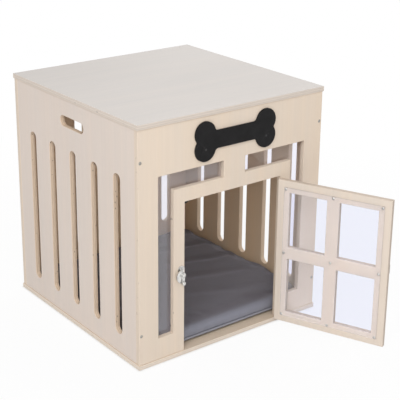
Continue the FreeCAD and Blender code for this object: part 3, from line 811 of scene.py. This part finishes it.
def creased(mesh, creases, seam, floor_level, cabin):
    """Sinks the creases into the top, or raises them as ridges where their depth is negative.

    It also draws the seam in, with small gathers above it, and keeps the pad between the cabin's walls.
    """
    seam_depth, seam_reach = 3.2 * mm, 4.0 * mm
    gather_depth, gather_height, gather_reach = 0.5 * mm, 9.0 * mm, 8.0 * mm
    gather_length, gather_drift = 5.0 * mm, 31.0 * mm
    mesh.update()
    middle = sum((vert.co.z for vert in mesh.vertices), 0.0) / len(mesh.vertices)
    normals = [vert.normal.copy() for vert in mesh.vertices]
    for vert, normal in zip(mesh.vertices, normals):
        x, y, z = vert.co
        if z > middle:
            for line, width, depth in creases:
                away, along = off_line(x, y, line)
                if away < 3 * width:
                    fade = math.sin(math.pi * along) ** 0.5
                    vert.co.z -= depth * fade * math.exp(-(away / width) ** 2)
        side = Vector((normal.x, normal.y, 0.0))
        run = x if abs(normal.y) > abs(normal.x) else y
        gather = gather_depth * math.sin(run / gather_length + 2.0 * math.sin(run / gather_drift))
        vert.co -= side * (seam_depth * math.exp(-((z - seam) / seam_reach) ** 2))
        vert.co += side * (gather * math.exp(-((z - seam - gather_height) / gather_reach) ** 2))
        vert.co.x = min(cabin[1].x, max(cabin[0].x, vert.co.x))
        vert.co.y = min(cabin[1].y, max(cabin[0].y, vert.co.y))
        vert.co.z = max(floor_level, vert.co.z)


def cloth_places(mesh):
    """Each face's places on the cloth that lies over it, kept at its corners."""
    kept = mesh.attributes.new("cloth", "FLOAT_VECTOR", "CORNER").data
    for face in mesh.polygons:
        lean = [abs(part) for part in face.normal]
        first, second = ((1, 2), (0, 2), (0, 1))[lean.index(max(lean))]
        for index in face.loop_indices:
            at = mesh.vertices[mesh.loops[index].vertex_index].co
            kept[index].vector = (at[first], at[second], 0.0)


def painted_roll_and_seam(mesh, front, seam):
    """Marks a painted highlight on the rolled front edge and painted shade in the fold along the seam."""
    roll_share, roll_width, fade_width = 0.88, 9.0 * mm, 60.0 * mm
    rise, fold_width = 4.0 * mm, 3.5 * mm
    # Positive values paint the lamp's highlight on the front roll; negative values paint the shade in the
    # fold above the seam.
    for vert, kept in zip(mesh.vertices, mesh.attributes.new("painted_light_and_shade", "FLOAT", "POINT").data):
        back, up = max(0.0, vert.co.y - front), vert.co.z - seam
        roll = roll_share * math.exp(-(back / roll_width) ** 2)
        roll += (1.0 - roll_share) * math.exp(-(back / fade_width) ** 2)
        pale = roll * min(1.0, max(0.0, up / rise))
        kept.value = pale - math.exp(-(up / fold_width) ** 2)


def weave_group():
    """Plain weave: threads that pass over and under each other, and slubs along them."""
    slub_step, slub_run = 700.0, 30.0
    tree, takes = node_group("Shader", "weave", {"Place": "Vector", "Pitch": "Float"},
                             {"Height": "Float", "Slubs": "Float"})
    place = takes["Place"]
    at = node(tree, "ShaderNodeSeparateXYZ", {0: place}).outputs
    threads = [maths(tree, "DIVIDE", at[axis], takes["Pitch"]) for axis in (0, 1)]
    turns = [times(tree, maths(tree, "FRACT", one), math.pi) for one in threads]
    rounds = [maths(tree, "SINE", turn) for turn in turns]
    steps = plus(tree, maths(tree, "FLOOR", threads[0]), maths(tree, "FLOOR", threads[1]))
    over = maths(tree, "PINGPONG", steps, 1.0)
    under = minus(tree, 1.0, over)
    height = plus(tree, times(tree, rounds[0], over), times(tree, rounds[1], under))
    slubs = plus(tree, noise(tree, place, (slub_step, slub_run, 1.0)),
                 noise(tree, place, (slub_run, slub_step, 1.0)))
    node(tree, "NodeGroupOutput", {"Height": height, "Slubs": times(tree, slubs, 0.5)})
    return tree


def woven(name, tone, pale, thread):
    """Cloth in one tone, paler where its threads stand up, with a painted highlight and painted shade where
    the mesh marks them, and a faint sheen.
    """
    fold_shade = 0.6
    material, tree = new_material(name)
    weave = node(tree, "ShaderNodeGroup", {"Place": attribute(tree, "cloth", "Vector"), "Pitch": thread},
                 node_tree=plain_weave).outputs
    worn = noise(tree, own_place(tree), (9.0, 9.0, 9.0), 3.0)
    painted_light_and_shade = attribute(tree, "painted_light_and_shade")
    # The negative part of the mark is painted shade in the seam's fold; the positive part mixes in the
    # painted highlight tone.
    fold = maths(tree, "MINIMUM", painted_light_and_shade, 0.0)
    shade = plus(tree, mapped(tree, weave["Height"], 0.0, 1.0, 0.72, 1.12),
                 mapped(tree, weave["Slubs"], *noise_span, -0.10, 0.10))
    shade = plus(tree, shade, mapped(tree, worn, *noise_span, -0.06, 0.06))
    shade = plus(tree, shade, times(tree, fold, fold_shade))
    dyed = mixed(tree, maths(tree, "MAXIMUM", painted_light_and_shade, 0.0), (*tone, 1.0), (*pale, 1.0))
    colour = node(tree, "ShaderNodeHueSaturation", {"Value": shade, "Color": dyed})
    relief = node(tree, "ShaderNodeBump", {"Height": weave["Height"], "Strength": 0.6, "Distance": 0.4 * mm})
    surface = node(tree, "ShaderNodeBsdfPrincipled", {
        "Base Color": colour, "Roughness": mapped(tree, weave["Slubs"], *noise_span, 0.72, 0.86),
        "Sheen Weight": 0.35, "Sheen Roughness": 0.45, "Sheen Tint": (0.80, 0.85, 1.0, 1.0),
        "Normal": relief})
    node(tree, "ShaderNodeOutputMaterial", {"Surface": surface})
    return material


def level_outline(mesh, height, outwards):
    """The outline of a closed pad at one height, as a ring of points a little outside it."""
    solid = bmesh.new()
    solid.from_mesh(mesh)
    everything = solid.verts[:] + solid.edges[:] + solid.faces[:]
    section = bmesh.ops.bisect_plane(solid, geom=everything, plane_co=(0, 0, height), plane_no=(0, 0, 1))
    edges = [one for one in section["geom_cut"] if isinstance(one, bmesh.types.BMEdge)]
    neighbours = {}
    for one in edges:
        for vert in one.verts:
            neighbours.setdefault(vert, []).append(one.other_vert(vert))
    ring = [edges[0].verts[0]]
    seen = {ring[0]}
    while True:
        ahead = [vert for vert in neighbours[ring[-1]] if vert not in seen]
        if not ahead:
            break
        ring.append(ahead[0])
        seen.add(ahead[0])
    points = []
    for before, vert, after in in_turn(ring):
        away = (after.co - before.co).cross(Vector((0, 0, 1))).normalized()
        if away.dot(vert.co) < 0:
            away = -away
        points.append(vert.co + away * outwards)
    solid.free()
    return points


def cord_tree():
    """A round cord along a ring of edges."""
    sides = 10
    tree, takes = node_group(
        "Geometry", "seam_cord",
        {"Path": "Geometry", "Step": "Float", "Thickness": "Float", "Finish": "Material"},
        {"Cord": "Geometry"})
    path = node(tree, "GeometryNodeMeshToCurve", {"Mesh": takes["Path"]})
    even = node(tree, "GeometryNodeResampleCurve", {"Curve": path, "Length": takes["Step"]}, mode="LENGTH")
    radius = times(tree, takes["Thickness"], 0.5)
    section = node(tree, "GeometryNodeCurvePrimitiveCircle", {"Resolution": sides, "Radius": radius})
    swept = node(tree, "GeometryNodeCurveToMesh", {"Curve": even, "Profile Curve": section})
    here = node(tree, "GeometryNodeInputPosition")
    stored = node(tree, "GeometryNodeStoreNamedAttribute",
                  {"Geometry": swept, "Name": "cloth", "Value": here},
                  data_type="FLOAT_VECTOR", domain="POINT")
    realised = node(tree, "GeometryNodeRealizeInstances", {"Geometry": stored})
    finished = node(tree, "GeometryNodeSetMaterial", {"Geometry": realised, "Material": takes["Finish"]})
    node(tree, "NodeGroupOutput", {"Cord": finished})
    return tree


plain_weave = weave_group()
thread = 1.4 * mm
# The cord's tone, much paler than the pad's cloth, is a painted highlight along the cord.
cord_highlight_tone = (0.30, 0.30, 0.34)
# The second tone is the painted highlight of the front roll.
cushion_cloth = woven("cushion_cloth", (0.099, 0.088, 0.100), (0.25, 0.255, 0.305), thread)
cord_cloth = woven("cord_cloth", cord_highlight_tone, cord_highlight_tone, thread)
cushion_low, cushion_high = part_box("cushion")
cabin_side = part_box("right_side_panel")[0][0]
cabin_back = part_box("back_panel")[0][1]
wall_clearance, front_swell = 1.0 * mm, 3.0 * mm
seam_level, cord_stand_off = 19.0 * mm, 1.6 * mm
cushion_creases = (
    (((0.040, 0.128), (0.146, 0.114), (0.205, 0.108), (0.236, 0.080)), 13 * mm, 5.5 * mm),
    (((0.020, 0.058), (0.108, 0.032), (0.163, 0.016), (0.208, 0.014), (0.240, -0.010)), 14 * mm, 5.5 * mm),
    (((-0.060, -0.012), (0.059, -0.049), (0.118, -0.068), (0.195, -0.090)), 16 * mm, 3.4 * mm),
    (((-0.080, -0.090), (0.022, -0.130), (0.098, -0.164), (0.170, -0.174)), 18 * mm, 2.0 * mm),
    (((0.140, 0.218), (0.204, 0.190), (0.240, 0.166)), 12 * mm, 5.0 * mm),
    (((-0.232, 0.060), (-0.150, 0.076), (-0.060, 0.070)), 15 * mm, 5.5 * mm),
    (((-0.228, -0.058), (-0.140, -0.082), (-0.085, -0.112)), 15 * mm, 4.5 * mm),
    (((-0.205, 0.176), (-0.110, 0.164), (-0.030, 0.182)), 14 * mm, 5.5 * mm),
    (((0.236, 0.150), (0.236, -0.210)), 18 * mm, -6.0 * mm),
    (((0.236, -0.060), (0.236, -0.125)), 16 * mm, -5.0 * mm),
    (((0.200, 0.055), (0.270, 0.045)), 14 * mm, 5.5 * mm),
    (((0.200, -0.028), (0.270, -0.038)), 12 * mm, 2.5 * mm),
)
pad = stuffed("cushion", voxel=6.0 * mm, pressure=4.0, stretch=0.03, swell=6.0 * mm)
pressed_flat = Vector((0, 2.0 * mm, 5.0 * mm))
fitted(pad, Vector(cushion_low) - pressed_flat, cushion_high)
cabin = (Vector((-cabin_side + wall_clearance, cushion_low[1] - front_swell, 0)),
         Vector((cabin_side - wall_clearance, cabin_back - wall_clearance, 0)))
creased(pad, cushion_creases, seam_level, cushion_low[2], cabin)
rough_pad = linked("rough_pad", pad)
finer = rough_pad.modifiers.new("finer", "SUBSURF")
finer.levels = finer.render_levels = 1
cushion_mesh = bpy.data.meshes.new_from_object(evaluated(rough_pad))
bpy.data.objects.remove(rough_pad)
cushion_mesh.name = "cushion_pad"
cushion_mesh.shade_smooth()
cloth_places(cushion_mesh)
# Paints the front roll's highlight and the shade in the seam's fold.
painted_roll_and_seam(cushion_mesh, cushion_low[1], seam_level)
cushion_mesh.materials.append(cushion_cloth)
cushion = new_piece("cushion_pad", cushion_mesh, "cushion")

cord_ring = level_outline(cushion_mesh, seam_level, cord_stand_off)
cord_path = bpy.data.meshes.new("seam_path")
links = [(index, (index + 1) % len(cord_ring)) for index in range(len(cord_ring))]
cord_path.from_pydata(cord_ring, links, [])
cord_sizes = {"Step": 6.0 * mm, "Thickness": 4.8 * mm, "Finish": cord_cloth}
cord_mesh = grown("cushion_cord", cord_tree(), cord_path, cord_sizes)
cord_mesh.shade_smooth()
new_piece("cushion_cord", cord_mesh)


# Floor under the crate, and the white room round it.
# To the camera both are white; the floor still takes a soft shadow, darkest along the crate's foot.

def seen_directly(tree):
    """1 for what the camera sees, also in metal and through glass, and 0 for light on surfaces."""
    path = node(tree, "ShaderNodeLightPath").outputs
    seen = maths(tree, "MAXIMUM", path["Is Camera Ray"], path["Is Glossy Ray"])
    return maths(tree, "MAXIMUM", seen, path["Is Transmission Ray"])


floor_reach, floor_gap = 8.0, 0.5 * mm
floor_level = cad_low.z - floor_gap
corners = [(x * floor_reach, y * floor_reach, floor_level) for x, y in ((-1, -1), (1, -1), (1, 1), (-1, 1))]
floor_mesh = bpy.data.meshes.new("floor")
floor_mesh.from_pydata(corners, [], [(0, 1, 2, 3)])
floor = linked("floor", floor_mesh)
white_floor, tree = new_material("white_floor")
near, far, near_glow = 0.4, 1.4, 0.93
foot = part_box("base_panel")[1][0]
dark_width, dark_glow = 5.0 * mm, 0.25
place = own_place(tree)
away = node(tree, "ShaderNodeVectorMath", {0: place}, operation="LENGTH").outputs["Value"]
at = node(tree, "ShaderNodeSeparateXYZ", {0: place}).outputs
off_middle = maths(tree, "MAXIMUM", maths(tree, "ABSOLUTE", at[0]), maths(tree, "ABSOLUTE", at[1]))
beside = mapped(tree, off_middle, foot, foot + dark_width, dark_glow, 1.0)
glow_share = times(tree, beside, mapped(tree, away, near, far, near_glow, 1.0))
glow_share = times(tree, seen_directly(tree), glow_share)
matt = node(tree, "ShaderNodeBsdfDiffuse", {"Color": (0.85, 0.85, 0.85, 1.0)})
glow = node(tree, "ShaderNodeEmission", {"Color": (1.0, 1.0, 1.0, 1.0), "Strength": 1.0})
both = node(tree, "ShaderNodeMixShader", {0: glow_share, 1: matt, 2: glow})
node(tree, "ShaderNodeOutputMaterial", {"Surface": both})
floor_mesh.materials.append(white_floor)

room_light = 0.55
world = bpy.data.worlds.new("white_room")
scene.world = world
world.use_nodes = True
tree = world.node_tree
tree.nodes.clear()
strength = mapped(tree, seen_directly(tree), 0.0, 1.0, room_light, 1.0)
room = node(tree, "ShaderNodeBackground", {"Color": (1.0, 1.0, 1.0, 1.0), "Strength": strength})
node(tree, "ShaderNodeOutputWorld", {"Surface": room})


# Studio light: one large soft lamp, high on the left and in front, so that the cabin lies in shade.
# A weaker one behind, on the right, keeps the far sides from going dull.

lamp_size = 2.6
lit_middle = Vector((0, 0, 0.25))
for name, power, place in (("soft_lamp", 88.0, (-2.25, -2.4, 2.55)),
                           ("fill_lamp", 36.0, (2.4, 1.9, 1.9))):
    lamp = linked(name, bpy.data.lights.new(name, "AREA"))
    lamp.data.energy = power
    lamp.data.size = lamp_size
    lamp.location = place
    lamp.rotation_euler = (lit_middle - lamp.location).to_track_quat("-Z", "Y").to_euler()


# Camera at the photograph's place, above the lid and to the left of the front, with a long lens.
# Its place, angles and shift were fitted to the crate's corners in the photograph.

camera_place = (-1.4150, -1.9456, 1.1981)
look_down, look_right, roll = (math.radians(angle) for angle in (18.756, 37.3, 0.392))
camera = linked("camera", bpy.data.cameras.new("camera"))
camera.data.sensor_width = 36.0
camera.data.lens = 95.65
camera.data.shift_x = 0.03
camera.data.shift_y = -0.12
camera_turn = Euler((math.radians(90) - look_down, 0, -look_right)).to_matrix()
camera_turn = camera_turn @ Matrix.Rotation(roll, 3, "Z")
camera.matrix_world = Matrix.Translation(camera_place) @ camera_turn.to_4x4()
scene.camera = camera
scene.view_settings.view_transform = "Standard"
